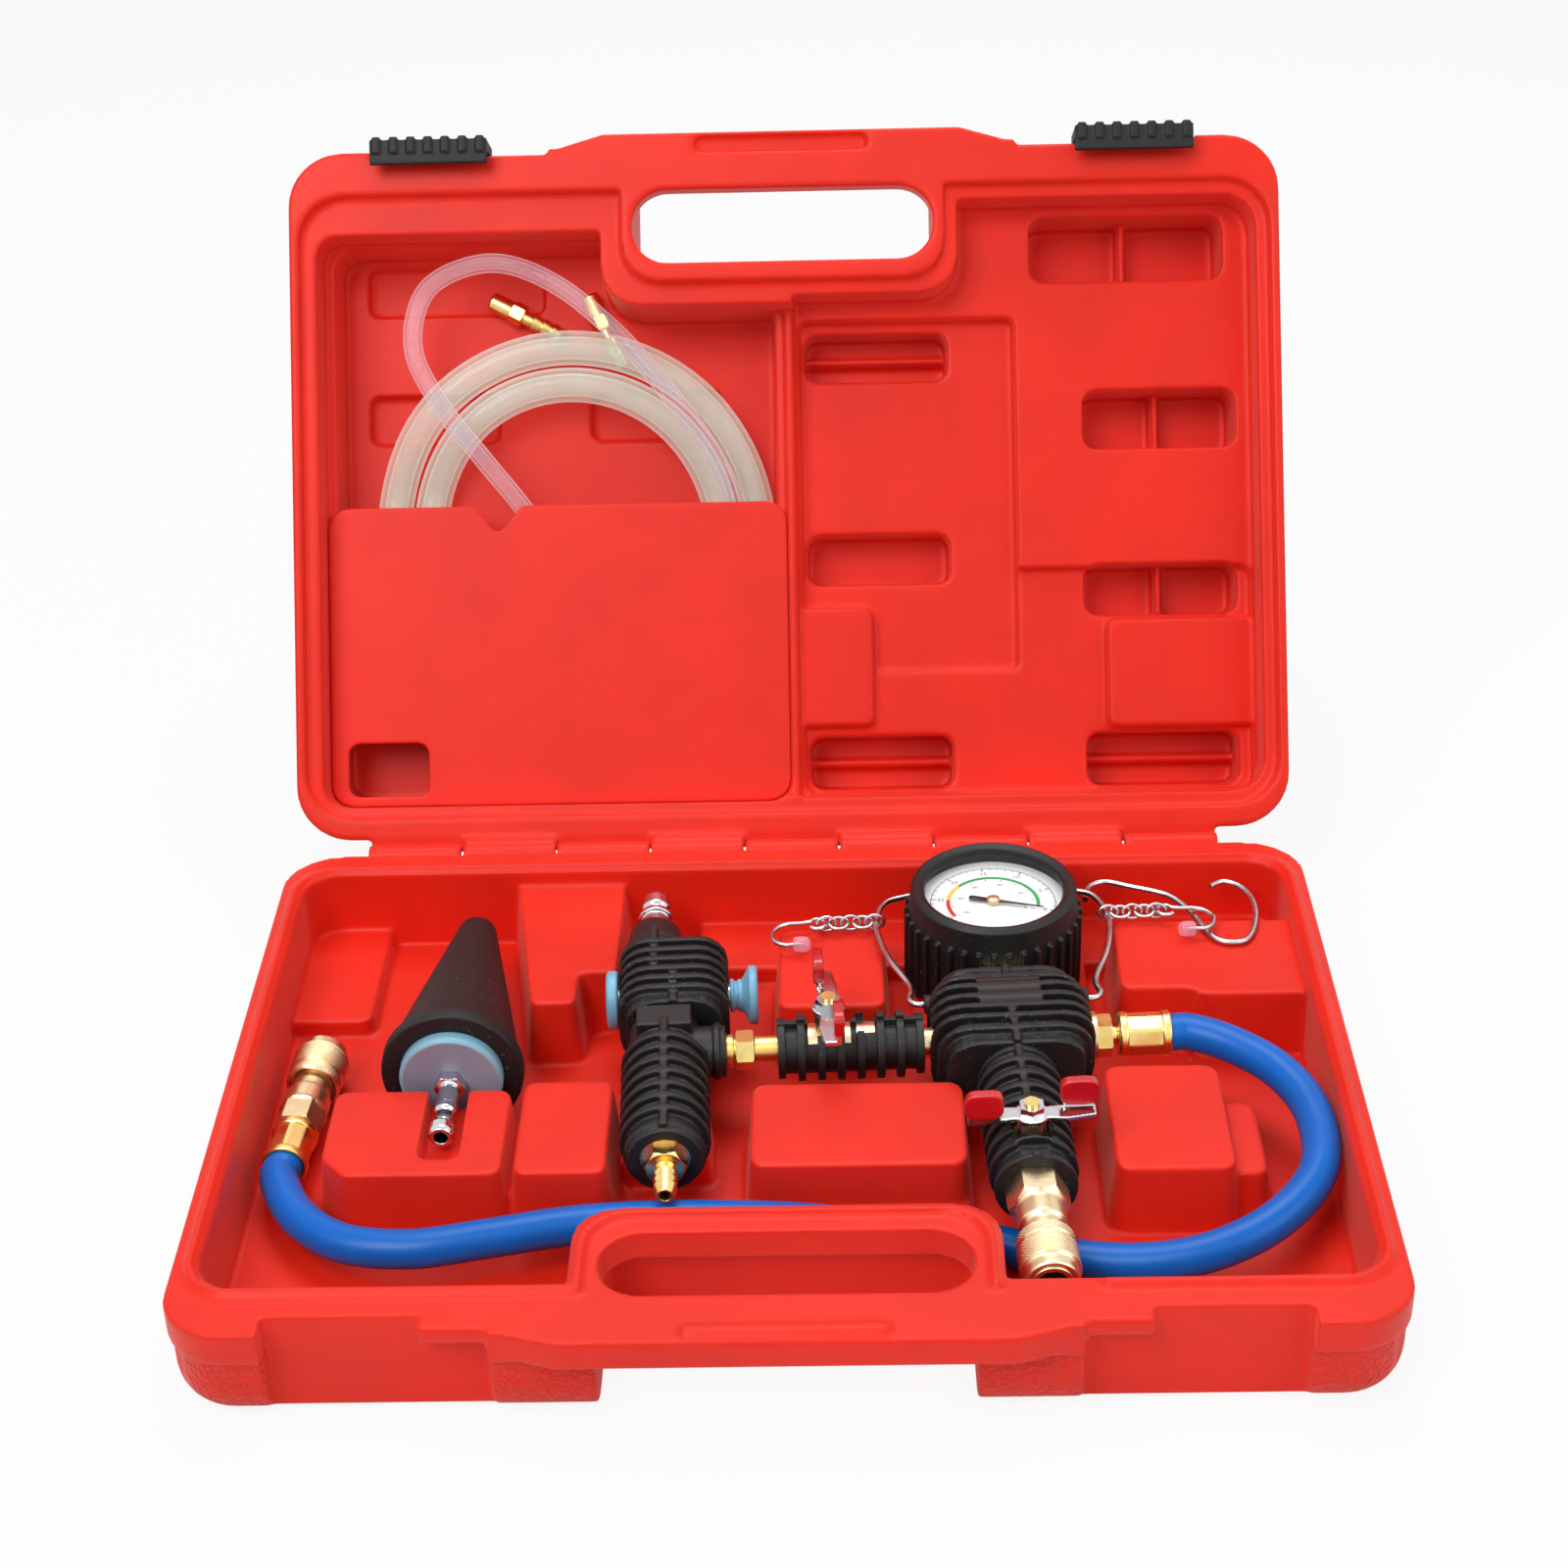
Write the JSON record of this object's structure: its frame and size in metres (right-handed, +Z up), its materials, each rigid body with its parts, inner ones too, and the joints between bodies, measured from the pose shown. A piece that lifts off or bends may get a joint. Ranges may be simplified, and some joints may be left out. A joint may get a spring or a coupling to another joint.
{
  "type": "coolant vacuum filler",
  "caption": "Vacuum filler for engine cooling systems with gauge, venturi, ball valves, hoses and rubber cone, laid in an open moulded case with a hinged lid.",
  "frame": {"origin": "centre of the base half on its flat underside", "axes": "+X to the right as seen from the handle side, +Y from the handle to the hinge, +Z up"},
  "size_m": [0.365, 0.4438, 0.2577],
  "materials": {
    "case_red": "satin moulded plastic, stippled low on the base",
    "latch_grey": "fine satin",
    "steel": "drawn wire",
    "cover_black": "matte rubber cover",
    "brass_pale": "machined, champagne tint",
    "brass_bright": "bright machined",
    "chrome": "polished plating",
    "grip_red": "dipped vinyl",
    "cap_blue": "satin",
    "cone_black": "matte moulded rubber",
    "plate_grey": "satin",
    "hose_blue": "satin smooth hose",
    "hose_clear": "clear flexible tube",
    "hose_thin": "clear flexible tube",
    "dial_white": "printed plate",
    "lens": "clear",
    "gauge_black": "satin"
  },
  "bodies": {
    "base": {"case_base": "case_red", "tray_shelves": "case_red", "tray_plateaus": "case_red", "hinge_pin": "steel", "manifold_cover": "cover_black", "manifold_body": "brass_pale", "link_nipple": "brass_bright", "venturi_upper_cover": "cover_black", "venturi_lower_cover": "cover_black", "venturi_body": "brass_pale", "venturi_jet": "brass_bright", "air_plug": "chrome", "exhaust_barb": "brass_bright", "gauge_boot": "cover_black", "gauge_case": "gauge_black", "gauge_dial": "dial_white", "gauge_lens": "lens", "gauge_stem": "brass_pale", "gauge_tube": "brass_bright", "outlet_body": "brass_pale", "hose_fitting": "brass_bright", "ferrule_right": "brass_bright", "blue_hose": "hose_blue", "ferrule_left": "brass_bright", "hose_coupler": "brass_pale", "hanger_wire": "steel", "cone_rubber": "cone_black", "cone_plate": "plate_grey", "cone_nipple": "chrome", "valve1_cover": "cover_black", "valve1_body": "brass_pale", "valve2_cover": "cover_black", "valve2_body": "brass_pale"},
    "lid": {"case_lid": "case_red", "pouch_panel": "case_red", "suction_hose": "hose_clear", "thin_hose": "hose_thin", "hose_adapters": "brass_bright"},
    "left_latch": {"latch_left": "latch_grey"},
    "right_latch": {"latch_right": "latch_grey"},
    "small_valve": {"valve1_ball": "chrome", "valve1_stem": "chrome", "valve1_handle": "chrome", "valve1_grips": "grip_red", "valve1_nut": "brass_bright"},
    "outlet_valve": {"valve2_ball": "chrome", "valve2_stem": "chrome", "valve2_handle": "chrome", "valve2_grips": "grip_red", "valve2_nut": "brass_bright"},
    "air_valve": {"air_spool": "steel", "spool_caps": "cap_blue"},
    "needle": {"gauge_pointer": "gauge_black"},
    "front_sleeve": {"outlet_sleeve": "brass_pale"},
    "left_sleeve": {"hose_coupler_sleeve": "brass_pale"},
    "bail": {"wire_bail": "steel", "chains": "steel", "chain_hooks": "steel", "hook_tips": "hose_thin"}
  },
  "joints": [
    {"name": "lid_hinge", "type": "hinge", "parent": "base", "child": "lid", "pos_m": [0, 0.133, 0.0317], "axis": [-1, 0, 0], "range_deg": [-122, 0]},
    {"name": "left_latch_slide", "type": "slide", "parent": "lid", "child": "left_latch", "axis": [1, 0, 0], "range_m": [0, 0.021]},
    {"name": "right_latch_slide", "type": "slide", "parent": "lid", "child": "right_latch", "axis": [-1, 0, 0], "range_m": [0, 0.021]},
    {"name": "small_valve_turn", "type": "hinge", "parent": "base", "child": "small_valve", "pos_m": [0.01306, 0.01538, 0.03], "axis": [0, 0, 1], "range_deg": [0, 90]},
    {"name": "outlet_valve_turn", "type": "hinge", "parent": "base", "child": "outlet_valve", "pos_m": [0.07562, -0.04194, 0.03], "axis": [0, 0, 1], "range_deg": [0, 90]},
    {"name": "air_valve_slide", "type": "slide", "parent": "base", "child": "air_valve", "axis": [-0.999, -0.0436, 0], "range_m": [0, 0.005]},
    {"name": "needle_turn", "type": "hinge", "parent": "base", "child": "needle", "pos_m": [0.07034, 0.07894, 0.03], "axis": [0, 0, 1], "range_deg": [0, 225], "stiffness_Nm_per_rad": 0.0002},
    {"name": "front_sleeve_slide", "type": "slide", "parent": "base", "child": "front_sleeve", "axis": [-0.0436, 0.999, 0], "range_m": [0, 0.004], "stiffness_N_per_m": 1500},
    {"name": "left_sleeve_slide", "type": "slide", "parent": "base", "child": "left_sleeve", "axis": [-0.0698, -0.9976, 0], "range_m": [0, 0.004], "stiffness_N_per_m": 1500},
    {"name": "bail_swing", "type": "hinge", "parent": "base", "child": "bail", "pos_m": [0.0723, 0.03399, 0.034], "axis": [0.999, 0.0436, 0], "range_deg": [0, 90]}
  ]
}
